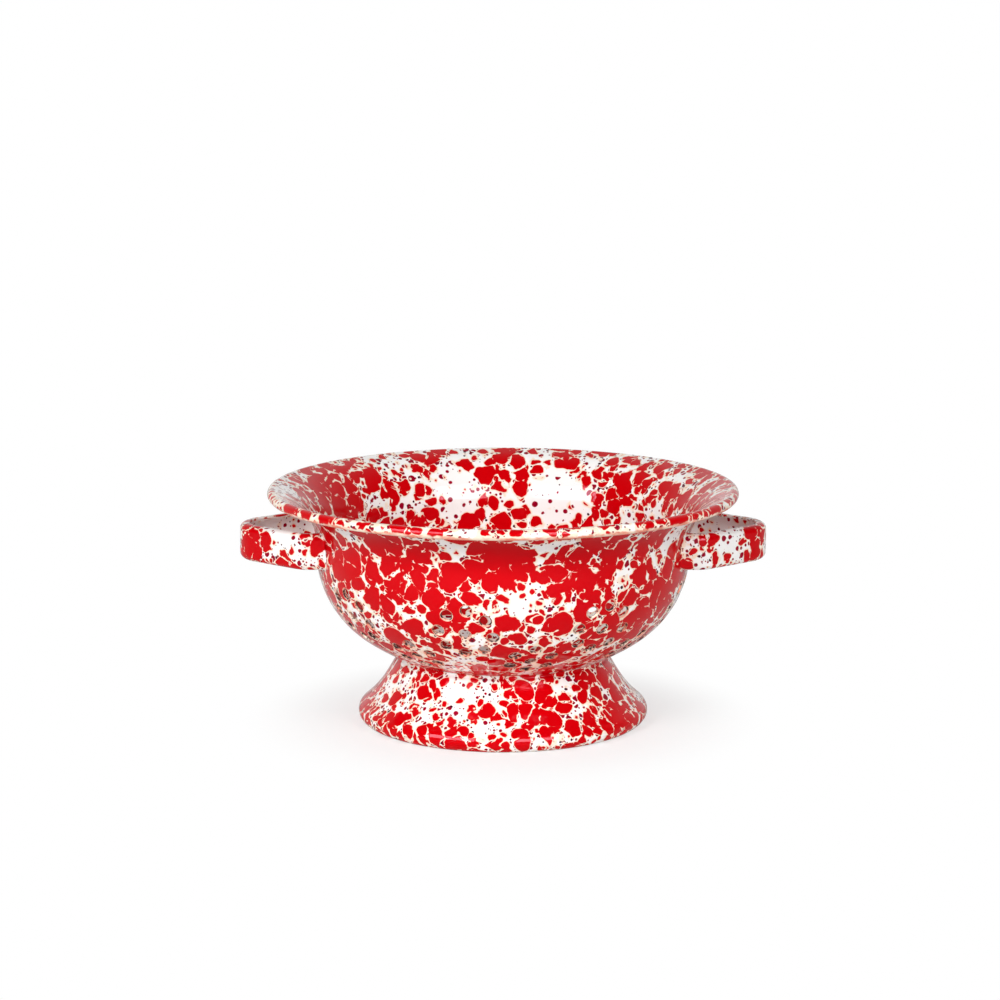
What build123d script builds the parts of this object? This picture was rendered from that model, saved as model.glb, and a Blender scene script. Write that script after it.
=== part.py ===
import os
from math import asin, cos, degrees, radians, sin, sqrt

from build123d import *

os.makedirs("parts", exist_ok=True)

# Enamelled steel sheet, with its glass coats
sheet = 1.2
joint_gap = 0.3
cut_overrun = 6.0

# Bowl, outer surface from the middle of the bottom up to the rolled rim
bowl_bottom_height = 18.0
dome_radius = 102.0
dome_angle = 34.0
belly_radius = 42.0
neck_height = 3.6
flare_radius = 21.0
flare_angle = 70.0
lip_length = 3.4
rim_bead_radius = 2.1
rim_curl_angle = 250.0

# Drain holes: tall rosettes round the wall, small ones between them lower down,
# and rings in the bottom inside the foot
hole_diameter = 4.2
wall_rosettes = 8
wall_rosette_azimuth = -102.0
wall_rosette_reach = 80.8
wall_rosette_holes = 8
wall_rosette_radius = 10.8
wall_rosette_tilt = -7.0
low_rosette_reach = 63.5
low_rosette_holes = 6
low_rosette_radius = 8.5
low_rosette_tilt = 25.0
bottom_inner_holes = 8
bottom_inner_radius = 10.8
bottom_outer_holes = 12
bottom_outer_radius = 22.0

# Foot ring, a flared pedestal with a rolled edge to stand on
foot_neck_radius = 43.6
foot_neck_steepness = 60.0
foot_neck_bend = 2.2
foot_flange_length = 8.0
foot_outer_radius = 58.9
foot_bead_radius = 4.2
foot_flare_steepness = 40.0
foot_curl_angle = 225.0
foot_flat_depth = 0.15
foot_flare_pull_share = 0.4

# Strap handles, one each side, bent from a channel with its edges turned in
handle_stand_out = 30.85
handle_rise = 3.742
handle_height = 14.6
handle_lip_depth = 4.2
handle_corner_radius = 2.6
handle_nose_radius = 15.0
handle_nose_angle = 50.0
handle_leg_length = 22.0
handle_shoulder_radius = 12.0
handle_shoulder_angle = 45.0
handle_tab_height = 10.0
handle_tab_length = 12.0

# Spot welds
weld_diameter = 3.6
weld_depth_share = 0.5
foot_weld_count = 8
tab_weld_pitch = 5.4

weld_radius = weld_diameter / 2
weld_depth = sheet * weld_depth_share
hole_radius = hole_diameter / 2
rim_curl_radius = rim_bead_radius - sheet


# The bowl's wall at a distance inside its outer surface, as a chain of tangent arcs
def wall_path(inward):
    start = (0, bowl_bottom_height + inward)
    dome = JernArc(start, (1, 0), dome_radius - inward, dome_angle)
    belly = JernArc(dome @ 1, dome % 1, belly_radius - inward, 90 - dome_angle)
    neck = Line(belly @ 1, belly @ 1 + (belly % 1) * neck_height)
    flare = JernArc(neck @ 1, neck % 1, flare_radius + inward, -flare_angle)
    return dome, flare


# The lip beyond the flare, and the edge rolled outward and under
def rim_path(flare, inward):
    lip = Line(flare @ 1, flare @ 1 + (flare % 1) * lip_length)
    return JernArc(lip @ 1, lip % 1, rim_curl_radius + inward, -rim_curl_angle)


# Radius, height and slope of the outer surface at a distance along it from the bottom's middle
def wall_point(reach):
    dome_reach = dome_radius * radians(dome_angle)
    turn = radians(dome_angle)
    if reach <= dome_reach:
        slope = reach / dome_radius
        radius = dome_radius * sin(slope)
        height = bowl_bottom_height + dome_radius * (1 - cos(slope))
    else:
        slope = turn + (reach - dome_reach) / belly_radius
        radius = dome_radius * sin(turn) + belly_radius * (sin(slope) - sin(turn))
        height = bowl_bottom_height + dome_radius * (1 - cos(turn))
        height += belly_radius * (cos(turn) - cos(slope))
    return radius, height, slope


# A plane on the outer surface whose normal points out of the bowl
def wall_plane(azimuth, reach):
    radius, height, slope = wall_point(reach)
    turn = radians(azimuth)
    outward = (sin(slope) * cos(turn), sin(slope) * sin(turn), -cos(slope))
    place = (radius * cos(turn), radius * sin(turn), height)
    return Plane(origin=place, x_dir=(-sin(turn), cos(turn), 0), z_dir=outward)


# An upright plane through the bowl's axis, with its x pointing out at an azimuth
def section_plane(azimuth):
    turn = radians(azimuth)
    return Plane(origin=(0, 0, 0), x_dir=(cos(turn), sin(turn), 0), z_dir=(sin(turn), -cos(turn), 0))


# Planes of one rosette: a ring of holes round a middle one, laid out along the wall
def rosette_planes(azimuth, reach, count, ring_radius, tilt):
    planes = [wall_plane(azimuth, reach)]
    for step in range(count):
        turn = radians(tilt + 360 * step / count)
        hole_reach = reach + ring_radius * sin(turn)
        swing = degrees(ring_radius * cos(turn) / wall_point(hole_reach)[0])
        planes.append(wall_plane(azimuth + swing, hole_reach))
    return planes


hole_planes = [wall_plane(0, 0)]
for count, ring_radius in (
    (bottom_inner_holes, bottom_inner_radius),
    (bottom_outer_holes, bottom_outer_radius),
):
    for step in range(count):
        hole_planes.append(wall_plane(360 * step / count, ring_radius))
for step in range(wall_rosettes):
    azimuth = wall_rosette_azimuth + 360 * step / wall_rosettes
    hole_planes += rosette_planes(
        azimuth, wall_rosette_reach, wall_rosette_holes, wall_rosette_radius, wall_rosette_tilt
    )
    hole_planes += rosette_planes(
        azimuth + 180 / wall_rosettes,
        low_rosette_reach,
        low_rosette_holes,
        low_rosette_radius,
        low_rosette_tilt,
    )

# Bowl: one drawn sheet with a flared, rolled rim, pierced with round holes
with BuildPart() as bowl:
    with BuildSketch(Plane.XZ):
        with BuildLine():
            outer_dome, outer_flare = wall_path(0)
            outer_curl = rim_path(outer_flare, 0)
            inner_dome, inner_flare = wall_path(sheet)
            inner_curl = rim_path(inner_flare, sheet)
            Line(outer_dome @ 0, inner_dome @ 0)
            Line(outer_curl @ 1, inner_curl @ 1)
        make_face()
    revolve(axis=Axis.Z)
    with BuildSketch(*hole_planes):
        Circle(hole_radius)
    extrude(amount=cut_overrun / 2, both=True, mode=Mode.SUBTRACT)
bowl.part.label = "bowl"
export_step(bowl.part, "parts/bowl.step")

# Where the foot's flange leaves the bowl and bends down into the neck
seat_radius = dome_radius + joint_gap
steepness = radians(foot_neck_steepness)
bend_slope = asin((foot_neck_radius - foot_neck_bend * sin(steepness)) / (seat_radius + foot_neck_bend))
flange_turn = foot_flange_length / seat_radius


# One side of the foot's sheet: flange under the bowl, neck, flare and rolled edge
def foot_path(inward):
    radius = seat_radius + inward
    slope = bend_slope - flange_turn
    start = (radius * sin(slope), bowl_bottom_height + dome_radius - radius * cos(slope))
    flange = JernArc(start, (cos(slope), sin(slope)), radius, degrees(flange_turn))
    neck_turn = degrees(bend_slope) + foot_neck_steepness
    neck = JernArc(flange @ 1, flange % 1, foot_neck_bend - inward, -neck_turn)
    lean = radians(foot_flare_steepness)
    curl_radius = foot_bead_radius - inward
    middle = (foot_outer_radius - foot_bead_radius, foot_bead_radius - foot_flat_depth)
    curl_start = Vector(middle[0] + curl_radius * sin(lean), middle[1] + curl_radius * cos(lean))
    along = Vector(cos(lean), -sin(lean))
    pull = (curl_start - neck @ 1).length * foot_flare_pull_share
    Bezier(neck @ 1, neck @ 1 + (neck % 1) * pull, curl_start - along * pull, curl_start)
    curl = JernArc(curl_start, along, curl_radius, -foot_curl_angle)
    return flange, curl


# Foot ring: one pressed sheet, ground flat where it stands
with BuildPart() as foot_ring:
    with BuildSketch(Plane.XZ):
        with BuildLine():
            upper_flange, outer_foot_curl = foot_path(0)
            lower_flange, inner_foot_curl = foot_path(sheet)
            Line(upper_flange @ 0, lower_flange @ 0)
            Line(outer_foot_curl @ 1, inner_foot_curl @ 1)
        make_face()
    revolve(axis=Axis.Z)
    split(bisect_by=Plane.XY, keep=Keep.TOP)
foot_ring.part.label = "foot_ring"
export_step(foot_ring.part, "parts/foot_ring.step")

# The bowl's widest wall, where the belly stands upright. The handles stand out and rise from there
belly_reach = dome_radius * radians(dome_angle) + belly_radius * radians(90 - dome_angle)
wall_radius, belly_height, belly_slope = wall_point(belly_reach)
handle_reach = wall_radius + handle_stand_out
handle_middle_height = belly_height + handle_rise

# The room that the bowl's wall and its joint gap take, which the handles stop at
with BuildPart() as bowl_room:
    with BuildSketch(Plane.XZ):
        with BuildLine():
            room_dome, room_flare = wall_path(-joint_gap)
            room_top = Line(room_flare @ 1, (0, (room_flare @ 1).Y))
            Line(room_top @ 1, room_dome @ 0)
        make_face()
    revolve(axis=Axis.Z)


# Half of a handle's line in plan, from its nose to just inside the bowl's wall
def handle_line():
    nose = JernArc((handle_reach, 0), (0, -1), handle_nose_radius, -handle_nose_angle)
    leg = Line(nose @ 1, nose @ 1 + (nose % 1) * handle_leg_length)
    shoulder = JernArc(leg @ 1, leg % 1, handle_shoulder_radius, -handle_shoulder_angle)
    root = shoulder @ 1
    inside = root.X - sqrt(wall_radius**2 - root.Y**2) + handle_lip_depth
    Line(root, root + (shoulder % 1) * inside)
    return root


# A handle for the right side: channel, then a tab at each end that lies on the wall
with BuildPart() as handle:
    with BuildLine(Plane.XY.offset(handle_middle_height)) as handle_course:
        handle_root = handle_line()
    with BuildSketch(Plane((handle_reach, 0, handle_middle_height), x_dir=(-1, 0, 0), z_dir=(0, -1, 0))):
        with BuildLine():
            edge = handle_height / 2
            outer_channel = FilletPolyline(
                (handle_lip_depth, edge),
                (0, edge),
                (0, -edge),
                (handle_lip_depth, -edge),
                radius=handle_corner_radius,
            )
            inner_edge = edge - sheet
            inner_channel = FilletPolyline(
                (handle_lip_depth, inner_edge),
                (sheet, inner_edge),
                (sheet, -inner_edge),
                (handle_lip_depth, -inner_edge),
                radius=handle_corner_radius - sheet,
            )
            Line(outer_channel @ 0, inner_channel @ 0)
            Line(outer_channel @ 1, inner_channel @ 1)
        make_face()
    sweep(path=handle_course.line)
    add(bowl_room.part, mode=Mode.SUBTRACT)
    tab_turn = degrees(asin((-handle_root.Y - sheet / 2) / wall_radius))
    with BuildSketch(section_plane(-tab_turn)):
        with BuildLine():
            near_dome, near_flare = wall_path(-joint_gap)
            far_dome, far_flare = wall_path(-joint_gap - sheet)
            Line(near_dome @ 0, far_dome @ 0)
            Line(near_flare @ 1, far_flare @ 1)
        make_face()
        with Locations((wall_radius, handle_middle_height)):
            Rectangle(wall_radius, handle_tab_height, mode=Mode.INTERSECT)
    revolve(axis=Axis.Z, revolution_arc=degrees(handle_tab_length / wall_radius))
    mirror(about=Plane.XZ)

# The nuggets that hold one handle's two tabs
tab_middle_turn = tab_turn - degrees(handle_tab_length / wall_radius) / 2
with BuildPart() as tab_welds:
    weld_planes = []
    for side in (-1, 1):
        for step in (-1, 1):
            turn = radians(side * tab_middle_turn) + step * tab_weld_pitch / 2 / wall_radius
            outward = (cos(turn), sin(turn), 0)
            place = (wall_radius * cos(turn), wall_radius * sin(turn), handle_middle_height)
            weld_planes.append(Plane(origin=place, z_dir=outward).offset(-weld_depth))
    with BuildSketch(*weld_planes):
        Circle(weld_radius)
    extrude(amount=2 * weld_depth + joint_gap)

# Each side has the same handle and welds, turned round the bowl's axis
for side, turn in (("right", 0), ("left", 180)):
    turned_handle = handle.part.rotate(Axis.Z, turn)
    turned_handle.label = f"{side}_handle"
    export_step(turned_handle, f"parts/{side}_handle.step")
    turned_welds = tab_welds.part.rotate(Axis.Z, turn)
    turned_welds.label = f"{side}_handle_welds"
    export_step(turned_welds, f"parts/{side}_handle_welds.step")

# The nuggets between the bowl and the foot's flange
with BuildPart() as foot_welds:
    flange_middle = (bend_slope - flange_turn / 2) * dome_radius
    foot_weld_planes = []
    for step in range(foot_weld_count):
        azimuth = 360 * (step + 0.5) / foot_weld_count
        foot_weld_planes.append(wall_plane(azimuth, flange_middle).offset(-weld_depth))
    with BuildSketch(*foot_weld_planes):
        Circle(weld_radius)
    extrude(amount=2 * weld_depth + joint_gap)
foot_welds.part.label = "foot_welds"
export_step(foot_welds.part, "parts/foot_welds.step")
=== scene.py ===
from math import acos, asin, atan2, ceil, cos, exp, pi, radians, sin, sqrt

import bpy
import numpy as np
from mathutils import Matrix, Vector
from mathutils.geometry import delaunay_2d_cdt


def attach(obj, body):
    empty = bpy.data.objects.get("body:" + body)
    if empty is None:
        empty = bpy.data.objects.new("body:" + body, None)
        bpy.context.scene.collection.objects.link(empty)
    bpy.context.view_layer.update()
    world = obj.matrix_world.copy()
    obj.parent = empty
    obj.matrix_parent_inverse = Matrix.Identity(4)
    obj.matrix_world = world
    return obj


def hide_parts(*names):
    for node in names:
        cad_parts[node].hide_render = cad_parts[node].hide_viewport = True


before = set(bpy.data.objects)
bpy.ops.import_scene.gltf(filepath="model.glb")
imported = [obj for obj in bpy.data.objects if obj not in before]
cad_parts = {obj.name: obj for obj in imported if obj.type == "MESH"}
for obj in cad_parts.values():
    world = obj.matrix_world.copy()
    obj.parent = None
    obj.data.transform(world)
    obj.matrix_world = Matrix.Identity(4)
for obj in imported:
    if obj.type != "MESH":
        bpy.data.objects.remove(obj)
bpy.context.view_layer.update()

# Bowl
# One deep-drawn steel sheet: domed bottom, round belly, flared lip and an edge rolled outward.
# The drain holes are punched first. Then it is dipped in white enamel, flicked with red frit
# that runs together into lobed blotches, beads and specks, and fired.
mm = 0.001
sheet = 1.2 * mm
bottom_height = 18.0 * mm
dome_radius = 102.0 * mm
dome_turn = radians(34)
belly_radius = 42.0 * mm
neck_height = 3.6 * mm
flare_radius = 21.0 * mm
flare_turn = radians(70)
lip_length = 3.4 * mm
curl_radius = 2.1 * mm - sheet
curl_turn = radians(250)

# Drain holes: rings in the bottom, and rosettes that stand by turns tall and low on the wall
hole_radius = 2.1 * mm
rosettes = 8
rosette_azimuth = radians(-102)
tall_reach = 80.8 * mm
tall_ring = 10.8 * mm
tall_count = 8
tall_tilt = radians(-7)
low_reach = 63.5 * mm
low_ring = 8.5 * mm
low_count = 6
low_tilt = radians(25)
bottom_rings = ((8, 10.8 * mm), (12, 22.0 * mm))

# How fine the mesh is
round_steps = 320
hole_steps = 24
edge_steps = 6
curl_steps = 20
plain_steps = 34
pierced_reach = 97.0 * mm
grid_step = 1.9 * mm
hole_margin = 0.45 * grid_step
hole_share = 0.97

# How far the glass pulls off the steel: round a hole, in the hole, on a cut edge and on the
# rolled edge. Where that edge turns under, past a share of its round, it also gets a peach-cream
# band.
rim_of_hole_pull = 0.12
hole_pull = 0.66
cut_pull = 0.3
curl_pull = 0.08
under_band = 0.22
under_start = 0.44
under_span = 0.14

bowl_course = [
    (dome_radius * dome_turn, 1 / dome_radius),
    (belly_radius * (pi / 2 - dome_turn), 1 / belly_radius),
    (neck_height, 0),
    (flare_radius * flare_turn, -1 / flare_radius),
    (lip_length, 0),
    (curl_radius * curl_turn, -1 / curl_radius),
]
bowl_start = (0, bottom_height, 0)


def follow(course, start, reach):
    """The point and heading at a distance along a chain of lines and tangent arcs."""
    x, y, heading = start
    for length, bend in course:
        step = min(reach, length)
        if bend:
            turned = heading + step * bend
            x += (sin(turned) - sin(heading)) / bend
            y += (cos(heading) - cos(turned)) / bend
            heading = turned
        else:
            x += step * cos(heading)
            y += step * sin(heading)
        reach -= step
        if reach <= 0:
            break
    return x, y, heading


def wall(reach, depth=0.0):
    """Radius, height and outward normal of the bowl, at a depth inside its outer face."""
    x, y, heading = follow(bowl_course, bowl_start, reach)
    out = (sin(heading), -cos(heading))
    return x - depth * out[0], y - depth * out[1], out


def wall_place(azimuth, reach):
    radius, height, out = wall(reach)
    return radius * cos(azimuth), radius * sin(azimuth), height


def around(azimuth, reach, ring, turn):
    """A point on a ring that lies on the wall, round another point of the wall."""
    if reach == 0:
        return turn, ring
    there = reach + ring * sin(turn)
    return azimuth + ring * cos(turn) / wall(there)[0], there


def hole_places():
    """Azimuth and reach of each hole: rings in the bottom, then tall and low rosettes by turns."""
    places = [(0.0, 0.0)]
    for count, reach in bottom_rings:
        places += [(2 * pi * i / count, reach) for i in range(count)]
    for i in range(rosettes):
        azimuth = rosette_azimuth + 2 * pi * i / rosettes
        for middle, reach, count, ring, tilt in (
            (azimuth, tall_reach, tall_count, tall_ring, tall_tilt),
            (azimuth + pi / rosettes, low_reach, low_count, low_ring, low_tilt),
        ):
            places.append((middle, reach))
            places += [around(middle, reach, ring, tilt + 2 * pi * j / count) for j in range(count)]
    return places


def put_in_scene(name, data):
    holder = bpy.data.objects.new(name, data)
    bpy.context.scene.collection.objects.link(holder)
    return holder


class Skin:
    """The closed surface of one enamelled piece: points with their own normals, and faces.
    The mark inside is 0 on the sheet's one face and 1 on the other, and the mark edge is how
    far the glass pulls off the steel and, under the rolled edge, how strong a peach-cream band
    is. The base and the patches say how red the two faces are."""

    def __init__(self, patches, base):
        self.points, self.normals, self.inside, self.edge = [], [], [], []
        self.faces = []
        self.patches, self.base = patches, base

    def point(self, place, normal, inside=0.0, edge=0.0):
        self.points.append(tuple(place))
        self.normals.append(Vector(normal).normalized())
        self.inside.append(inside)
        self.edge.append(edge)
        return len(self.points) - 1

    def turned_row(self, radius, height, normal, inside=0.0, edge=0.0):
        """One ring of points of a turned shape."""
        row = []
        for i in range(round_steps):
            turn = 2 * pi * i / round_steps
            place = (radius * cos(turn), radius * sin(turn), height)
            out = (normal[0] * cos(turn), normal[0] * sin(turn), normal[1])
            row.append(self.point(place, out, inside, edge))
        return row

    def span(self, rows):
        """Faces between rows that have equally many points, closed round each row."""
        for low, high in zip(rows, rows[1:]):
            for i in range(len(low)):
                self.faces.append((low[i - 1], low[i], high[i], high[i - 1]))

    def red_bias(self):
        """How red each point is: its face's base, and what the patches near it add."""
        points, inside = np.array(self.points), np.array(self.inside) > 0.5
        total = np.where(inside, self.base[1], self.base[0])
        for side, patches in enumerate(self.patches):
            for x, y, z, size, strength in patches:
                apart = np.linalg.norm(points - np.array((x, y, z)) * mm, axis=1) / (size * mm)
                near = np.clip(1 - apart**2, 0, 1) ** 2
                total += np.where(inside == bool(side), strength * near, 0)
        return total

    def build(self, name, material):
        """The piece as an object, with each face turned outward and the marks on its points."""
        points, normals = np.array(self.points), np.array(self.normals)
        corners = np.array([(face[0], face[1], face[2], face[-1]) for face in self.faces])
        first, second, third, last = (points[corners[:, i]] for i in range(4))
        flat = np.cross(second - first, third - first) + np.cross(third - first, last - first)
        facing = (flat * normals[corners].sum(axis=1)).sum(axis=1) > 0
        faces = [face if right else face[::-1] for face, right in zip(self.faces, facing)]
        mesh = bpy.data.meshes.new(name)
        mesh.from_pydata(self.points, [], faces)
        mesh.shade_smooth()
        marks = {"inside": self.inside, "edge": self.edge, "wash": self.red_bias()}
        for mark, values in marks.items():
            layer = mesh.attributes.new(mark, "FLOAT", "POINT")
            layer.data.foreach_set("value", np.array(values, dtype=np.float32))
        mesh.normals_split_custom_set_from_vertices(self.normals)
        mesh.materials.append(material)
        return put_in_scene(name, mesh)


def on_wall(skin, azimuth, reach, depth, lean, side=0.0, swing=0.0, inside=0.0, edge=0.0):
    """A point at a depth in the bowl's wall. Its normal leans outward, sideways and up the wall."""
    radius, height, out = wall(reach, depth)
    turn_cos, turn_sin = cos(azimuth), sin(azimuth)
    outward = Vector((out[0] * turn_cos, out[0] * turn_sin, out[1]))
    upward = Vector((-out[1] * turn_cos, -out[1] * turn_sin, out[0]))
    across = Vector((-turn_sin, turn_cos, 0))
    place = (radius * turn_cos, radius * turn_sin, height)
    return skin.point(place, outward * lean + across * side + upward * swing, inside, edge)


def pierced_layout(holes, ring):
    """The lower wall laid flat: points, the loops round it and round its holes, and triangles.
    Points keep a margin off the holes, and triangles that lie in a hole are left out."""
    spots = [(2 * pi * i / round_steps, pierced_reach) for i in range(round_steps)]
    loops = [list(range(round_steps))]
    for azimuth, reach in holes:
        loops.append(list(range(len(spots), len(spots) + hole_steps)))
        turns = [2 * pi * j / hole_steps for j in range(hole_steps)]
        spots += [around(azimuth, reach, ring, turn) for turn in turns]
    centres = np.array([wall_place(*hole) for hole in holes])
    rows = ceil(pierced_reach / grid_step)
    for row in range(1, rows):
        reach = pierced_reach * row / rows
        count = ceil(2 * pi * wall(reach)[0] / grid_step)
        for i in range(count):
            azimuth = 2 * pi * (i + row % 2 / 2) / count
            apart = np.linalg.norm(centres - wall_place(azimuth, reach), axis=1).min()
            if apart > ring + hole_margin:
                spots.append((azimuth, reach))
    flat = [Vector((reach * cos(azimuth), reach * sin(azimuth))) / mm for azimuth, reach in spots]
    edges = [(loop[i - 1], loop[i]) for loop in loops for i in range(len(loop))]
    only_inside, least_gap = 1, 1e-6
    _, _, faces, origins, _, _ = delaunay_2d_cdt(flat, edges, [], only_inside, least_gap)
    places = np.array([wall_place(*spot) for spot in spots])
    triangles = []
    for face in faces:
        triangle = [origins[corner][0] for corner in face]
        middle = places[triangle].mean(axis=0)
        if np.linalg.norm(centres - middle, axis=1).min() > ring * hole_share:
            triangles.append(triangle)
    return spots, loops, triangles


# Where the red ran together or stayed sparse: x, y, z and size in mm, and how much more red.
# The patches of the outer face come first, then those inside.
bowl_patches = (
    (
        (-33, -68, 78, 10, 0.9), (-21, -72, 71, 11, 0.8), (-8, -75, 77, 17, 1),
        (3, -76, 78, 16, 1), (22, -72, 76, 11, 0.8), (34, -68, 79, 18, 1.1),
        (37, -66, 64, 10, 0.6), (56, -54, 83, 12, 0.8), (56, -43, 50, 14, 0.7),
        (22, -69, 55, 9, 0.6), (-44, -64, 83, 10, 0.6), (-46, -60, 65, 9, 0.6),
        (-27, -70, 66, 9, 0.6), (-67, -37, 79, 12, 0.7), (-40, -61, 57, 10, -1.4),
        (-27, -71, 79, 6, -1.2), (-18, -76, 85, 9, -1.4), (-1, -75, 61, 11, -1.3),
        (9, -75, 66, 12, -1.5), (15, -77, 85, 10, -1.5), (45, -61, 73, 9, -1.5),
        (65, -43, 83, 9, -1.2), (-36, -73, 89, 8, -1.2), (-51, -59, 84, 7, -1),
        (-55, -50, 60, 8, -0.8), (28, -55, 39, 12, -0.6), (-24, -60, 42, 12, -0.4),
        (-64, -40, 68, 17, 1.4), (66, -36, 64, 17, 1.5), (-48, -62, 86, 11, 1.2),
        (46, -63, 80, 14, 1.0), (-40, -58, 50, 12, 0.7), (-12, -63, 46, 22, -0.25),
        (18, -62, 46, 20, -0.2), (70, 30, 66, 20, 0.6), (10, 74, 64, 22, 0.6),
        (-64, 40, 62, 20, 0.5), (-30, 60, 50, 16, -0.8), (36, 66, 74, 12, -1.2),
        (-20, 74, 82, 10, -1.2), (74, -4, 74, 10, -1), (-74, 8, 70, 12, -1),
    ),
    (
        (1, 87, 94, 10, 0.8), (-33, 76, 91, 10, 0.7), (-8, 75, 81, 9, 0.7), (-33, 67, 72, 9, 0.7),
        (-1, 74, 68, 9, 0.6), (-51, 62, 89, 9, 0.6), (58, 55, 89, 12, 0.8), (47, 59, 79, 10, 0.8),
        (41, 62, 74, 7, 0.6), (30, 82, 94, 8, 0.5), (10, 74, 70, 7, 0.5), (-68, 36, 83, 22, 1.2),
        (69, 33, 84, 12, 0.3), (-20, 72, 79, 16, -2.0), (23, 71, 77, 19, -2.2),
        (16, 81, 91, 9, -1.2), (-15, 81, 91, 8, -0.8), (37, 73, 91, 7, -0.9),
        (-88, 5, 94, 10, -0.5), (64, 39, 78, 9, -0.8), (0, 10, 20, 26, -0.6),
        (40, 0, 26, 20, 0.3), (-6, -84, 92, 14, -0.6), (2, 77, 76, 14, -0.5),
        (-86, -14, 93, 12, -0.8), (-80, 30, 90, 12, 0.6), (86, -12, 93, 12, 0.9),
        (80, 30, 90, 12, 0.6),
    ),
)

bowl_skin = Skin(bowl_patches, base=(0.35, 0.0))
holes = hole_places()
spots, loops, triangles = pierced_layout(holes, hole_radius + sheet / 2)
rim_points = {index for loop in loops[1:] for index in loop}
wall_faces = []
for depth, lean in ((0, 1), (sheet, -1)):
    face = []
    for i, spot in enumerate(spots):
        edge = rim_of_hole_pull * (i in rim_points)
        face.append(on_wall(bowl_skin, *spot, depth, lean, inside=depth / sheet, edge=edge))
    bowl_skin.faces += [[face[corner] for corner in triangle] for triangle in triangles]
    wall_faces.append(face)

# Each hole's edge is a half circle from one face of the sheet to the other
for (azimuth, reach), loop in zip(holes, loops[1:]):
    hole_rows = [[wall_faces[0][i] for i in loop]]
    for k in range(1, edge_steps):
        bow = pi * k / edge_steps
        ring = hole_radius + sheet / 2 * (1 - sin(bow))
        depth = sheet / 2 * (1 - cos(bow))
        row = []
        for j in range(hole_steps):
            turn = 2 * pi * j / hole_steps
            side, swing = (-cos(turn), -sin(turn)) if reach else (0, -1)
            spot = around(azimuth, reach, ring, turn)
            lean = (cos(bow), side * sin(bow), swing * sin(bow))
            row.append(on_wall(bowl_skin, *spot, depth, *lean, k / edge_steps, hole_pull))
        hole_rows.append(row)
    hole_rows.append([wall_faces[1][i] for i in loop])
    bowl_skin.span(hole_rows)


def rounded_end(x, y, heading):
    """The half circle that closes a sheet's cut edge, from the face on its right to its left."""
    middle = (x - sheet / 2 * sin(heading), y + sheet / 2 * cos(heading))
    for k in range(1, edge_steps):
        turn = heading - pi / 2 + pi * k / edge_steps
        out = (cos(turn), sin(turn))
        yield middle[0] + sheet / 2 * out[0], middle[1] + sheet / 2 * out[1], out, k / edge_steps


# Above the holes the wall is plain: up its outer face, round the rolled edge, and down inside
bowl_reach = sum(length for length, bend in bowl_course)
curl_reach = bowl_reach - bowl_course[-1][0]
plain_reaches = []
for low, high, steps in (
    (pierced_reach, curl_reach, plain_steps),
    (curl_reach, bowl_reach, curl_steps),
):
    plain_reaches += [low + (high - low) * i / steps for i in range(1, steps + 1)]
bowl_rows = [[wall_faces[0][i] for i in loops[0]]]
for reach in plain_reaches:
    bowl_rows.append(bowl_skin.turned_row(*wall(reach)))
for radius, height, out, share in rounded_end(*follow(bowl_course, bowl_start, bowl_reach)):
    bowl_rows.append(bowl_skin.turned_row(radius, height, out, share, cut_pull))
for reach in reversed(plain_reaches):
    radius, height, out = wall(reach, sheet)
    curled = (reach - curl_reach) / (bowl_reach - curl_reach)
    # Where the rolled edge turns under, its edge mark rises, which gives it a peach-cream band.
    turned_under = min(max((curled - under_start) / under_span, 0), 1)
    edge = curl_pull * (curled > 0) + under_band * turned_under
    bowl_rows.append(bowl_skin.turned_row(radius, height, (-out[0], -out[1]), 1.0, edge))
bowl_rows.append([wall_faces[1][i] for i in loops[0]])
bowl_skin.span(bowl_rows)


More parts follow.
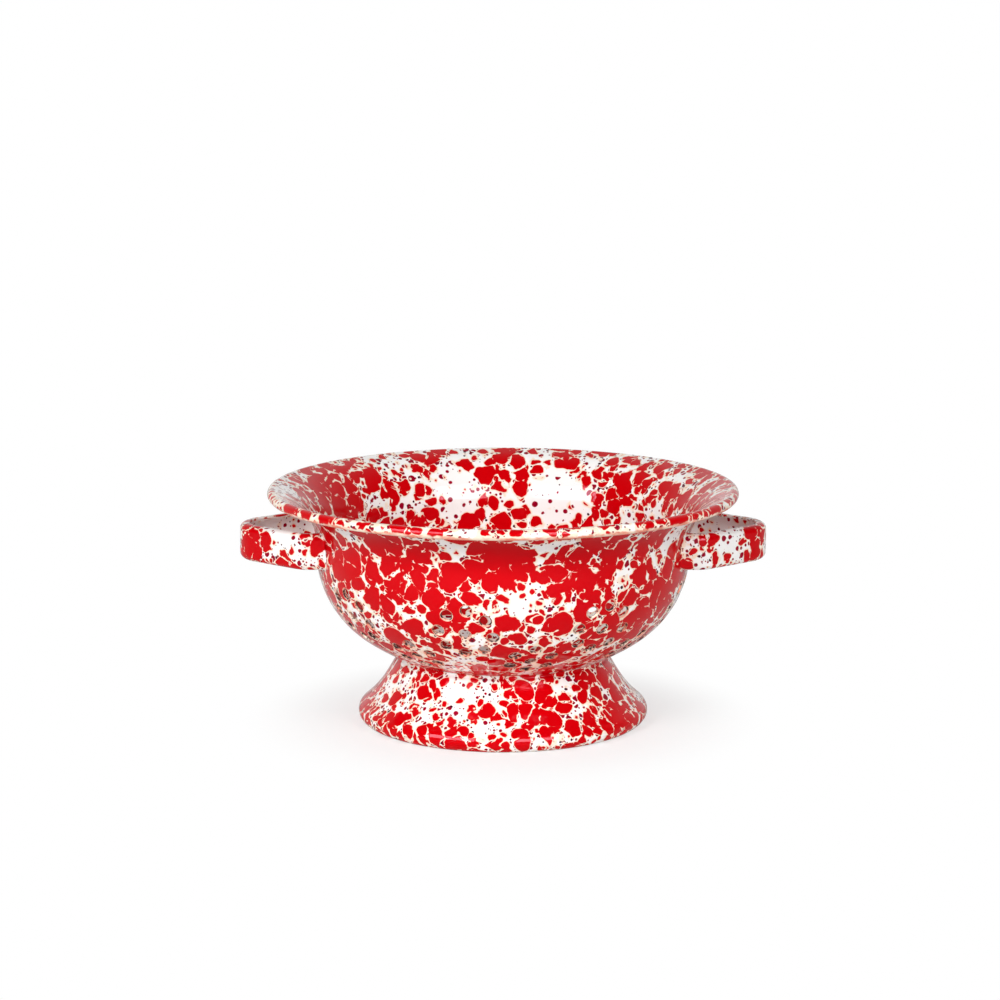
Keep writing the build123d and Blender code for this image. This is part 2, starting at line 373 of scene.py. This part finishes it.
class Finish:
    """A material and its nodes. Numbers, colours and other nodes' outputs can all be inputs."""

    def __init__(self, name):
        self.material = bpy.data.materials.new(name)
        self.material.use_nodes = True
        self.tree = self.material.node_tree
        self.shader = self.tree.nodes["Principled BSDF"]

    def add(self, kind, **settings):
        node = self.tree.nodes.new(kind)
        for key, value in settings.items():
            setattr(node, key, value)
        return node

    def feed(self, socket, value):
        if isinstance(value, bpy.types.NodeSocket):
            self.tree.links.new(value, socket)
        else:
            socket.default_value = value

    def math(self, operation, *values):
        node = self.add("ShaderNodeMath", operation=operation)
        for socket, value in zip(node.inputs, values):
            self.feed(socket, value)
        return node.outputs[0]

    def scaled(self, value, factor, added):
        """A value times a factor, with something added."""
        return self.math("MULTIPLY_ADD", value, factor, added)

    def shift(self, place, offset, scale=1.0):
        """A place moved by an offset times a scale."""
        node = self.add("ShaderNodeVectorMath", operation="MULTIPLY_ADD")
        self.feed(node.inputs[0], offset)
        self.feed(node.inputs[1], (scale, scale, scale))
        self.feed(node.inputs[2], place)
        return node.outputs[0]

    def noise(self, place, size, detail=1.0):
        node = self.add("ShaderNodeTexNoise")
        self.feed(node.inputs["Vector"], place)
        self.feed(node.inputs["Scale"], 1 / size)
        self.feed(node.inputs["Detail"], detail)
        return node

    def sway(self, place, size, detail=1.0):
        """Soft noise about zero, of a size in mm."""
        return self.math("SUBTRACT", self.noise(place, size, detail).outputs["Fac"], 0.5)

    def wander(self, place, size, distance):
        """A place moved about by soft noise."""
        half = (-distance / 2, -distance / 2, -distance / 2)
        cloud = self.noise(place, size).outputs["Color"]
        return self.shift(self.shift(place, half), cloud, distance)

    def between(self, value, low, high):
        """A smooth step from 0 at the low value to 1 at the high one."""
        node = self.add("ShaderNodeMapRange", interpolation_type="SMOOTHSTEP")
        self.feed(node.inputs["Value"], value)
        self.feed(node.inputs["From Min"], low)
        self.feed(node.inputs["From Max"], high)
        return node.outputs["Result"]

    def mix(self, share, first, second):
        node = self.add("ShaderNodeMix", data_type="RGBA")
        self.feed(node.inputs[0], share)
        self.feed(node.inputs[6], first)
        self.feed(node.inputs[7], second)
        return node.outputs[2]

    def mark(self, name):
        """What a skin's points say under this name."""
        return self.add("ShaderNodeAttribute", attribute_name=name).outputs["Fac"]

    def drops(self, place, size, least, spread, density, gain, vein):
        """Depth in mm inside drops, one to a cell, that stop short of the veins between cells.
        A drop's radius is the least, up to the spread more, and the gain for each density."""
        cells = self.add("ShaderNodeTexVoronoi")
        borders = self.add("ShaderNodeTexVoronoi", feature="DISTANCE_TO_EDGE")
        for node in (cells, borders):
            self.feed(node.inputs["Vector"], place)
            self.feed(node.inputs["Scale"], 1 / size)
        chance = self.add("ShaderNodeSeparateColor")
        self.feed(chance.inputs[0], cells.outputs["Color"])
        radius = self.scaled(density, gain, self.scaled(chance.outputs[0], spread, least))
        drop = self.scaled(cells.outputs["Distance"], -size, radius)
        room = self.scaled(borders.outputs["Distance"], size, self.math("MULTIPLY", vein, -1))
        rounding = 0.2 * size
        return self.math("SMOOTH_MIN", drop, room, rounding)


white_ground = (0.88, 0.865, 0.85, 1)
cream_ground = (0.87, 0.73, 0.58, 1)
bright_red = (0.54, 0.0, 0.002, 1)
crimson = (0.28, 0.0, 0.013, 1)
maroon_speck = (0.05, 0.006, 0.014, 1)
thin_glass = (0.78, 0.27, 0.18, 1)
bare_steel = (0.04, 0.016, 0.014, 1)
inner_shift = 2.7


def splatter_enamel(name, start, grain):
    """Red splatter on white enamel, in mm of the object's own space, drawn finer by the grain.
    The start is where in the endless pattern the outer face lies. The inner face is shifted."""
    glaze = Finish(name)
    coordinates = glaze.add("ShaderNodeTexCoord").outputs["Object"]
    face = glaze.math("GREATER_THAN", glaze.mark("inside"), 0.5)
    offset = glaze.add("ShaderNodeCombineXYZ")
    for socket, length in zip(offset.inputs, start):
        glaze.feed(socket, glaze.scaled(face, inner_shift * length, length))
    place = glaze.shift(offset.outputs[0], coordinates, grain / mm)
    edge = glaze.mark("edge")

    # The outlines wander, slowly and in small lobes, and there is less red where glass pulls off
    bent = glaze.wander(place, size=9.0, distance=4.5)
    bent = glaze.wander(bent, size=2.6, distance=1.3)
    density = glaze.scaled(glaze.sway(place, 15.0), 2.2, glaze.mark("wash"))
    density = glaze.scaled(glaze.math("MINIMUM", edge, 0.1), -2.5, density)

    # Large drops meet in veins of ground, which come and go. Smaller ones fill what they leave.
    vein = glaze.scaled(glaze.sway(place, 4.0), 3.2, glaze.scaled(density, -0.36, 0.45))
    blotch = glaze.drops(bent, 8.4, least=1.65, spread=5.2, density=density, gain=2.2, vein=vein)
    vein = glaze.scaled(glaze.sway(place, 3.0), 2.2, glaze.scaled(density, -0.4, 0.4))
    blob = glaze.drops(bent, 5.0, least=0.5, spread=3.4, density=density, gain=1.0, vein=vein)
    gap = glaze.math("SUBTRACT", glaze.scaled(glaze.sway(place, 3.4), -4.0, 0.1), blotch)
    red = glaze.math("MAXIMUM", blotch, glaze.math("MINIMUM", blob, gap))

    # Round dots and fine specks in the ground that is left
    open_ground = glaze.scaled(red, -1, -0.3)
    dot = glaze.drops(place, 3.3, least=0.25, spread=1.6, density=density, gain=0.35, vein=0.3)
    small = glaze.drops(place, 1.9, least=-0.1, spread=1.0, density=density, gain=0.3, vein=0.15)
    dot = glaze.math("MINIMUM", glaze.math("MAXIMUM", dot, small), open_ground)
    speck = glaze.drops(place, 2.4, least=-0.5, spread=1.35, density=density, gain=0.2, vein=0.1)
    speck = glaze.math("MINIMUM", speck, open_ground)

    # The ground is creamier next to the red, and the small dots are deeper in colour
    near = glaze.scaled(edge, 9.0, red)
    ground = glaze.mix(glaze.between(near, -0.8, -0.12), white_ground, cream_ground)
    colour = glaze.mix(glaze.between(red, -0.09, 0.09), ground, bright_red)
    colour = glaze.mix(glaze.between(dot, -0.08, 0.10), colour, crimson)
    colour = glaze.mix(glaze.between(speck, -0.02, 0.12), colour, maroon_speck)

    # Along rolled and cut edges and in the holes the glass is thin and patchy, and here and there
    # pulled off. The same peach-cream mix makes the band where the rolled edge turns under.
    thin = glaze.scaled(glaze.sway(place, 3.5, 2.0), 0.5, edge)
    blush = glaze.between(glaze.sway(place, 6.0, 2.0), -0.16, 0.10)
    blush = glaze.mix(blush, cream_ground, thin_glass)
    colour = glaze.mix(glaze.between(thin, 0.16, 0.26), colour, blush)
    worn = glaze.scaled(glaze.sway(place, 1.7, 3.0), 1.5, edge)
    colour = glaze.mix(glaze.between(worn, 0.56, 0.72), colour, bare_steel)
    glaze.feed(glaze.shader.inputs["Base Color"], colour)

    # Glossy all over, duller where the steel is bare, with a faint orange peel
    rough = glaze.scaled(glaze.noise(place, 9.0, 2.0).outputs["Fac"], 0.05, 0.035)
    rough = glaze.scaled(glaze.between(worn, 0.5, 0.8), 0.4, rough)
    glaze.feed(glaze.shader.inputs["Roughness"], rough)
    glaze.shader.inputs["IOR"].default_value = 1.5
    glaze.shader.inputs["Specular IOR Level"].default_value = 0.12
    glaze.shader.inputs["Specular Tint"].default_value = (1, 0.65, 0.8, 1)
    relief = glaze.math("MULTIPLY", glaze.between(red, -0.2, 0.7), 0.05)
    relief = glaze.scaled(glaze.sway(place, 6.0, 2.0), 0.10, relief)
    relief = glaze.scaled(glaze.sway(place, 0.9, 2.0), 0.006, relief)
    bump = glaze.add("ShaderNodeBump")
    glaze.feed(bump.inputs["Height"], relief)
    glaze.feed(bump.inputs["Distance"], mm)
    glaze.feed(bump.inputs["Strength"], 0.6)
    glaze.feed(glaze.shader.inputs["Normal"], bump.outputs["Normal"])
    return glaze.material


bowl_splatter = splatter_enamel("bowl_splatter", start=(31, 17, 43), grain=1.0)
bowl = bowl_skin.build("bowl_shell", bowl_splatter)
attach(bowl, "root")
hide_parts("bowl")

# Foot ring
# A pressed steel ring, splattered like the bowl. Its narrow top lies against the bowl's bottom,
# spot-welded there, and the glass fills the joint. Its wide edge is rolled under, to stand on.
joint_gap = 0.3 * mm
foot_neck_radius = 43.6 * mm
foot_neck_slope = radians(60)
foot_neck_bend = 2.2 * mm
foot_flange = 8.0 * mm
foot_outer_radius = 58.9 * mm
foot_bead_radius = 4.2 * mm
foot_flare_slope = radians(40)
foot_curl_turn = radians(225)
foot_flat = 0.15 * mm
foot_pull_share = 0.4
foot_neck_steps = 30
foot_flare_steps = 23
foot_curl_steps = 24
fillet_steps = 10
under_fillet_steps = 6

seat_radius = dome_radius + joint_gap
bend_middle = foot_neck_radius - foot_neck_bend * sin(foot_neck_slope)
bend_slope = asin(bend_middle / (seat_radius + foot_neck_bend))
flange_slope = bend_slope - foot_flange / seat_radius
flange_end = (
    seat_radius * sin(flange_slope),
    bottom_height + dome_radius - seat_radius * cos(flange_slope),
    flange_slope,
)
foot_course = [
    (foot_flange, 1 / seat_radius),
    (foot_neck_bend * (bend_slope + foot_neck_slope), -1 / foot_neck_bend),
]
dome_middle = Vector((0, bottom_height + dome_radius))
fillet = 0.9 * mm
under_fillet = 0.6 * mm
sunk = 0.05 * mm


def arc(middle, radius, start, end, steps, facing=1):
    """Points and normals along an arc. Facing is -1 where the surface faces the arc's middle."""
    for k in range(steps + 1):
        turn = start + (end - start) * k / steps
        out = (facing * cos(turn), facing * sin(turn))
        yield middle[0] + radius * cos(turn), middle[1] + radius * sin(turn), out


def way_to(start, end):
    return atan2(end.y - start.y, end.x - start.x)


def fillet_middle(size, spot, spot_radius, side):
    """Middle of the glass fillet between the bowl's underside and a round edge of the foot."""
    near, far = dome_radius + size, (spot - dome_middle).length
    between = acos((near**2 + far**2 - (size + spot_radius) ** 2) / (2 * near * far))
    slope = asin(spot.x / far) + side * between
    return dome_middle + near * Vector((sin(slope), -cos(slope)))


def foot_profile():
    """Points and headings down the foot's outer face: flange, neck, flare and rolled edge."""
    neck_reach = sum(length for length, bend in foot_course)
    for i in range(foot_neck_steps + 1):
        x, y, heading = follow(foot_course, flange_end, neck_reach * i / foot_neck_steps)
        yield x, y, heading
    neck = Vector((x, y))
    middle = Vector((foot_outer_radius - foot_bead_radius, foot_bead_radius - foot_flat))
    along = Vector((cos(foot_flare_slope), -sin(foot_flare_slope)))
    end = middle + foot_bead_radius * Vector((sin(foot_flare_slope), cos(foot_flare_slope)))
    pull = (end - neck).length * foot_pull_share
    before = neck + pull * Vector((cos(heading), sin(heading)))
    after = end - pull * along
    for i in range(1, foot_flare_steps + 1):
        t = i / foot_flare_steps
        r = 1 - t
        spot = neck * r**3 + before * 3 * t * r**2 + after * 3 * t**2 * r + end * t**3
        way = (before - neck) * r**2 + (after - before) * 2 * t * r + (end - after) * t**2
        yield spot.x, spot.y, atan2(way.y, way.x)
    for i in range(1, foot_curl_steps + 1):
        turn = foot_flare_slope + foot_curl_turn * i / foot_curl_steps
        spot = middle + foot_bead_radius * Vector((sin(turn), cos(turn)))
        yield spot.x, spot.y, -turn


foot_patches = (
    (
        (5, -44, 24, 9, 0.9), (12, -46, 18, 8, 0.7), (-36, -32, 18, 9, 0.6),
        (34, -32, 20, 10, 1.1), (-11, -50, 13, 8, 0.6), (20, -49, 11, 8, 0.6),
        (7, -57, 7, 7, 0.6), (-18, -56, 6, 10, 0.6), (-36, -46, 6, 9, 0.6), (33, -46, 8, 9, 0.6),
        (46, -34, 8, 13, 1.6), (44, -21, 16, 10, 1.0), (-44, -36, 9, 9, 0.6),
        (-17, -43, 21, 9, -1.4), (27, -49, 8, 7, -1.2), (-45, -20, 16, 8, -1.1),
        (-8, -55, 9, 6, -1), (44, 10, 14, 14, 0.4), (-20, 42, 14, 14, 0.6),
        (20, 46, 10, 12, -0.8),
    ),
    (),
)
foot_skin = Skin(foot_patches, base=(0.1, -1.4))
foot_line = list(foot_profile())

# Outer face: a fillet that starts sunk in the bowl, what it leaves of the neck's bend, and on
# down the neck and the flare, round the rolled edge
bend = dome_middle + (seat_radius + foot_neck_bend) * Vector((sin(bend_slope), -cos(bend_slope)))
middle = fillet_middle(fillet, bend, foot_neck_bend, 1)
start, end = way_to(middle, dome_middle), way_to(middle, bend) + 2 * pi
outer_rows = list(arc(middle, fillet, start, end, fillet_steps, -1))
bend_heading = way_to(bend, middle) - pi / 2
x, y, out = outer_rows[0]
foot_rows = [foot_skin.turned_row(x - sunk * out[0], y - sunk * out[1], out)]
foot_rows += [foot_skin.turned_row(*row) for row in outer_rows]
for x, y, heading in foot_line:
    if heading < bend_heading:
        out = (-sin(heading), cos(heading)) if y > 0 else (0, -1)
        foot_rows.append(foot_skin.turned_row(x, max(y, 0), out))

# Rolled edge's end, back up the inner face, and the flange's end with a smaller fillet
x, y, heading = foot_line[-1]
foot_end = list(rounded_end(x + sheet * sin(heading), y - sheet * cos(heading), heading))
for radius, height, out, share in reversed(foot_end):
    foot_rows.append(foot_skin.turned_row(radius, height, out, 1 - share, cut_pull))
for x, y, heading in reversed(foot_line):
    out = (sin(heading), -cos(heading))
    foot_rows.append(foot_skin.turned_row(x + sheet * out[0], y + sheet * out[1], out, 1.0))
tip = dome_middle + (seat_radius + sheet / 2) * Vector((sin(flange_slope), -cos(flange_slope)))
middle = fillet_middle(under_fillet, tip, sheet / 2, -1)
start, end = flange_slope - pi / 2, way_to(tip, middle)
under_rows = list(arc(tip, sheet / 2, start, end, under_fillet_steps))[1:]
start, end = way_to(middle, tip), way_to(middle, dome_middle)
under_rows += list(arc(middle, under_fillet, start, end, under_fillet_steps, -1))[1:]
foot_rows += [foot_skin.turned_row(*row, 1.0) for row in under_rows]
x, y, out = under_rows[-1]
foot_rows.append(foot_skin.turned_row(x - sunk * out[0], y - sunk * out[1], out, 1.0))
foot_rows.append(foot_rows[0])
foot_skin.span(foot_rows)
foot_splatter = splatter_enamel("foot_splatter", start=(-23, 61, 12), grain=1.12)
foot = foot_skin.build("foot_pedestal", foot_splatter)
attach(foot, "root")
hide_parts("foot_ring")

# Handles
# Two straps of steel channel with their edges turned in, each bent round in one nose. The tabs at
# their ends lie on the bowl's wall under the rim and are welded there. Glass rounds the joints.
handle_reach = 106.4 * mm
handle_middle = 74.0 * mm
handle_height = 14.6 * mm
handle_lip = 4.2 * mm
handle_corner = 2.6 * mm
nose_radius = 15.0 * mm
nose_turn = radians(50)
leg_length = 22.0 * mm
shoulder_radius = 12.0 * mm
shoulder_turn = radians(45)
joint_fillet = 0.9 * mm
tab_length = 12.0 * mm
tab_height = 10.0 * mm
tab_corner = 3.0 * mm
tab_skirt = 0.6 * mm
weld_pitch = 5.4 * mm
weld_size = 1.5 * mm
weld_dent = 0.14 * mm
halvings = 24
strap_steps = 46
lip_steps = 3
corner_steps = 8
inner_lip_steps = 2
inner_corner_steps = 6
joint_steps = 4
tab_corner_steps = 6
tab_side_steps = 5
tab_rings = 12
handle_course = [
    (nose_radius * nose_turn, -1 / nose_radius),
    (leg_length, 0),
    (shoulder_radius * shoulder_turn, -1 / shoulder_radius),
]
handle_start = (handle_reach, 0, -pi / 2)
strap_length = sum(length for length, bend in handle_course)


def channel_section():
    """Depth, lift, normal and face of the points round the channel's closed section."""
    edge = handle_height / 2
    lip = (handle_lip - sheet / 2, edge - sheet / 2)
    corner = (handle_corner, edge - handle_corner)
    outer = list(arc(lip, sheet / 2, 0, pi / 2, lip_steps))
    outer += arc(corner, handle_corner, pi / 2, pi, corner_steps)
    inner = list(arc(corner, handle_corner - sheet, pi, pi / 2, inner_corner_steps, -1))
    inner += arc(lip, sheet / 2, -pi / 2, -pi / 6, inner_lip_steps)
    for face, half in ((0, outer), (1, inner)):
        lower = [(depth, -lift, (out[0], -out[1])) for depth, lift, out in reversed(half)]
        for depth, lift, out in (half + lower) if face == 0 else (lower + half):
            yield depth, lift, out[0], out[1], face


def wall_radius(height):
    """The bowl's outer radius at a height of its belly, neck or flare, found by halving."""
    low, high = dome_radius * dome_turn, curl_reach
    for halving in range(halvings):
        reach = (low + high) / 2
        low, high = (reach, high) if wall(reach)[1] < height else (low, reach)
    return wall(low)[0]


def run_to_wall(depth, lift):
    """How far a line along a strap's end goes on until it meets the bowl."""
    x, y, heading = follow(handle_course, handle_start, strap_length)
    x += depth * sin(heading)
    y -= depth * cos(heading)
    ahead = x * cos(heading) + y * sin(heading)
    aside = x * x + y * y - wall_radius(handle_middle + lift) ** 2
    return -ahead - sqrt(ahead**2 - aside)


section = list(channel_section())


def strap_row(skin, station, side, facing, close=None, deeper=0.0):
    """One section of a strap, on one side of its nose. Close is None along the strap, and goes
    from 0 to 1 where its end flares into the joint's glass."""
    x, y, heading = follow(handle_course, handle_start, station)
    ahead = (cos(heading), sin(heading))
    bow = (close or 0) * pi / 2
    grow = joint_fillet * (1 - cos(bow))
    row = []
    for depth, lift, out_depth, out_lift, face in section:
        d, z = depth + out_depth * grow, lift + out_lift * grow
        run = 0 if close is None else run_to_wall(d, z) - joint_fillet * (1 - sin(bow)) + deeper
        place = (x + d * ahead[1] + run * ahead[0], y - d * ahead[0] + run * ahead[1])
        normal = (
            out_depth * ahead[1] * cos(bow) - ahead[0] * sin(bow),
            -out_depth * ahead[0] * cos(bow) - ahead[1] * sin(bow),
        )
        place = (facing * place[0], facing * side * place[1], handle_middle + z)
        normal = (facing * normal[0], facing * side * normal[1], out_lift * cos(bow))
        row.append(skin.point(place, normal, face))
    return row


def tab(skin, middle):
    """The plate at a strap's end that lies on the bowl: rounded, glazed on, dented by its welds."""
    outline = []
    for i, (right, up) in enumerate(((1, 1), (-1, 1), (-1, -1), (1, -1))):
        corner = (right * (tab_length / 2 - tab_corner), up * (tab_height / 2 - tab_corner))
        for k in range(tab_corner_steps + 1):
            turn = pi / 2 * (i + k / tab_corner_steps)
            out = (cos(turn), sin(turn))
            outline.append((corner[0] + tab_corner * out[0], corner[1] + tab_corner * out[1], out))

    # Rings: the glass skirt, sunk in the wall, the rounded side, and over the top to its middle
    top = joint_gap + sheet
    skirt = arc((tab_skirt, tab_skirt), tab_skirt, -pi / 2, -pi, tab_side_steps, -1)
    shoulder = arc((-tab_skirt, top - tab_skirt), tab_skirt, 0, pi / 2, tab_side_steps)
    rings = [(1, tab_skirt, -sunk, 0, 1)]
    rings += [(1, x, y, *out) for x, y, out in (*skirt, *shoulder)]
    rings += [(k / tab_rings, -tab_skirt, top, 0, 1) for k in reversed(range(tab_rings))]

    there = wall_radius(handle_middle)
    upward = Vector((0, 0, 1))
    rows = []
    for share, outset, rise, spread, lean in rings:
        row = []
        for u, v, out in outline:
            u, v = share * (u + outset * out[0]), share * (v + outset * out[1])
            dented, slope_u, slope_v = rise, 0, 0
            if rise == top:
                for weld in (-weld_pitch / 2, weld_pitch / 2):
                    dent = weld_dent * exp(-((u - weld) ** 2 + v * v) / weld_size**2)
                    dented -= dent
                    slope_u += 2 * (u - weld) / weld_size**2 * dent
                    slope_v += 2 * v / weld_size**2 * dent
            azimuth, height = middle + u / there, handle_middle + v
            outward = Vector((cos(azimuth), sin(azimuth), 0))
            across = Vector((-sin(azimuth), cos(azimuth), 0))
            place = (wall_radius(height) + dented) * outward + height * upward
            normal = outward * lean + across * (spread * out[0] - slope_u)
            row.append(skin.point(place, normal + upward * (spread * out[1] - slope_v)))
        rows.append(row)
    skin.span(rows)
    skin.faces.append(rows[0])


strap_patches = (
    (
        (-99, -11, 73, 12, 2.0), (-82, -21, 67, 9, 2.2), (-72, -21, 72, 9, 1.6),
        (-86, -19, 80, 13, -2.4), (100, -8, 78, 8, 1.2), (81, -20, 70, 8, 0.7),
        (88, -20, 80, 11, -1.2), (-90, 18, 72, 10, 0.9), (92, 17, 70, 10, 0.9),
        (80, 20, 79, 8, -0.9),
    ),
    (),
)
strap_splatter = splatter_enamel("strap_splatter", start=(53, -37, 29), grain=1.2)
strap_stations = [strap_length * i / strap_steps for i in range(strap_steps)]
joint_closes = [k / joint_steps for k in range(joint_steps + 1)]
root = follow(handle_course, handle_start, strap_length)
there = wall_radius(handle_middle)
tab_turn = asin((-root[1] - sheet / 2) / there) - tab_length / 2 / there
for name, facing in (("right", 1), ("left", -1)):
    skin = Skin(strap_patches, base=(-0.2, -1.7))
    rows = []
    for side in (1, -1):
        end = [strap_row(skin, strap_length, side, facing, close) for close in joint_closes]
        end.append(strap_row(skin, strap_length, side, facing, 1.0, sunk))
        stations = strap_stations if side > 0 else strap_stations[1:]
        leg = [strap_row(skin, station, side, facing) for station in stations]
        rows = (leg + end)[::-1] if side > 0 else rows + leg + end
        tab(skin, (0 if facing > 0 else pi) - side * tab_turn)
    skin.span(rows)
    strap = skin.build(f"{name}_strap", strap_splatter)
    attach(strap, "root")
    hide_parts(f"{name}_handle")

# Spot welds
# Small steel nuggets between the bowl and what is welded on it. They are all but hidden.
dull_steel = (0.30, 0.28, 0.26, 1)
bright_steel = (0.52, 0.51, 0.50, 1)
steel = Finish("weld_steel")
coordinates = steel.add("ShaderNodeTexCoord").outputs["Object"]
tint = steel.noise(coordinates, 0.4 * mm, 3.0).outputs["Fac"]
steel.feed(steel.shader.inputs["Base Color"], steel.mix(tint, dull_steel, bright_steel))
steel.shader.inputs["Metallic"].default_value = 1.0
steel.feed(steel.shader.inputs["Roughness"], steel.between(tint, 0.1, 1.2))
for name in ("foot_welds", "left_handle_welds", "right_handle_welds"):
    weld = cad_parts[name]
    weld.data.materials.clear()
    weld.data.materials.append(steel.material)

# Table and light
# A white table in a white room, with a soft lamp and a wide window on either side in front.
# The table shows the shadow close to the foot, and further out it is as white as the room.
table_reach = 6.0
shadow_start = 0.055
shadow_end = 0.11
table_glow = 0.22
white_share_near = 0.5
white_share_in_glass = 0.4
corners = [(-table_reach, -table_reach, 0), (table_reach, -table_reach, 0)]
corners += [(table_reach, table_reach, 0), (-table_reach, table_reach, 0)]
mesh = bpy.data.meshes.new("table")
mesh.from_pydata(corners, [], [(0, 1, 2, 3)])
top = Finish("white_table")
top.shader.inputs["Base Color"].default_value = (0.7, 0.7, 0.7, 1)
top.shader.inputs["Roughness"].default_value = 0.7
top.shader.inputs["Specular IOR Level"].default_value = 0.2
away = top.add("ShaderNodeVectorMath", operation="LENGTH")
top.feed(away.inputs[0], top.add("ShaderNodeTexCoord").outputs["Object"])
clear = top.between(away.outputs["Value"], shadow_start, shadow_end)
ray = top.add("ShaderNodeLightPath")
to_camera = top.scaled(clear, 1 - white_share_near, white_share_near)
to_camera = top.math("MULTIPLY", ray.outputs["Is Camera Ray"], to_camera)
in_glass = top.math("MULTIPLY", ray.outputs["Is Glossy Ray"], white_share_in_glass)
white = top.add("ShaderNodeEmission")
glow = top.add("ShaderNodeEmission")
top.feed(glow.inputs["Strength"], top.math("MULTIPLY", ray.outputs["Is Camera Ray"], table_glow))
lit = top.add("ShaderNodeAddShader")
blend = top.add("ShaderNodeMixShader")
top.feed(lit.inputs[0], top.shader.outputs[0])
top.feed(lit.inputs[1], glow.outputs[0])
top.feed(blend.inputs[0], top.scaled(in_glass, clear, to_camera))
top.feed(blend.inputs[1], lit.outputs[0])
top.feed(blend.inputs[2], white.outputs[0])
top.feed(top.tree.nodes["Material Output"].inputs["Surface"], blend.outputs[0])
mesh.materials.append(top.material)
table = put_in_scene("table", mesh)

# The room is white to the camera. It lights the table and the colander less from high up, and
# the glass shows it dark in front and white behind. Each row is a kind of ray, an axis, the two
# places on it between which the strength changes, and the strength at each of them.
other_strength = 0.4
room_strengths = (
    ("Is Diffuse Ray", "Z", 0.1, 0.7, 0.82, 0.06),
    ("Is Glossy Ray", "Y", 0.0, 0.8, 0.08, 1.0),
    ("Is Camera Ray", "Y", -1.0, 1.0, 1.0, 1.0),
)
world = bpy.data.worlds.new("white_room")
bpy.context.scene.world = world
world.use_nodes = True
nodes, links = world.node_tree.nodes, world.node_tree.links
ray = nodes.new("ShaderNodeLightPath")
toward = nodes.new("ShaderNodeSeparateXYZ")
links.new(nodes.new("ShaderNodeTexCoord").outputs["Generated"], toward.inputs[0])
strength = None
for seen, axis, start, end, low, high in room_strengths:
    level = nodes.new("ShaderNodeMapRange")
    links.new(toward.outputs[axis], level.inputs["Value"])
    level.inputs["From Min"].default_value = start
    level.inputs["From Max"].default_value = end
    level.inputs["To Min"].default_value = low
    level.inputs["To Max"].default_value = high
    choice = nodes.new("ShaderNodeMix")
    links.new(ray.outputs[seen], choice.inputs[0])
    if strength is None:
        choice.inputs[2].default_value = other_strength
    else:
        links.new(strength, choice.inputs[2])
    links.new(level.outputs["Result"], choice.inputs[3])
    strength = choice.outputs[0]
nodes["Background"].inputs["Color"].default_value = (1, 1, 1, 1)
links.new(strength, nodes["Background"].inputs["Strength"])

lamp_distance = 1.5
lamp_aim = Vector((0, 0, 0.06))


def lamp(name, azimuth, elevation, size, brightness, in_glass=False):
    """A soft lamp aimed at the colander. Its brightness is what its face shows, white being 1.
    Some are seen only in the glass, as the wide windows of the room."""
    light = bpy.data.lights.new(name, "AREA")
    light.shape = "RECTANGLE"
    light.size, light.size_y = size
    light.energy = brightness * pi * size[0] * size[1]
    turn, rise = radians(azimuth), radians(elevation)
    level = lamp_distance * cos(rise)
    place = Vector((level * sin(turn), -level * cos(turn), lamp_distance * sin(rise)))
    holder = put_in_scene(name, light)
    holder.location = place + lamp_aim
    holder.rotation_euler = place.to_track_quat("Z", "Y").to_euler()
    holder.visible_glossy = in_glass
    holder.visible_diffuse = not in_glass


lamp("left_lamp", azimuth=-33, elevation=30, size=(0.5, 0.5), brightness=20.5)
lamp("right_lamp", azimuth=34, elevation=30, size=(0.5, 0.5), brightness=11.5)
lamp("left_window", azimuth=-42, elevation=22, size=(1.1, 0.8), brightness=26, in_glass=True)
lamp("right_window", azimuth=27, elevation=22, size=(0.9, 0.8), brightness=26, in_glass=True)

# Camera
# It looks a little down on the colander from the front, through a long lens, as a catalogue
# picture is taken.
camera = put_in_scene("camera", bpy.data.cameras.new("camera"))
camera.data.sensor_width = 36
camera.data.lens = 108.76
camera.location = (-0.0012, -1.2, 0.3123)
camera.rotation_euler = (radians(79.51), 0, 0)
bpy.context.scene.camera = camera
bpy.context.scene.view_settings.view_transform = "Standard"
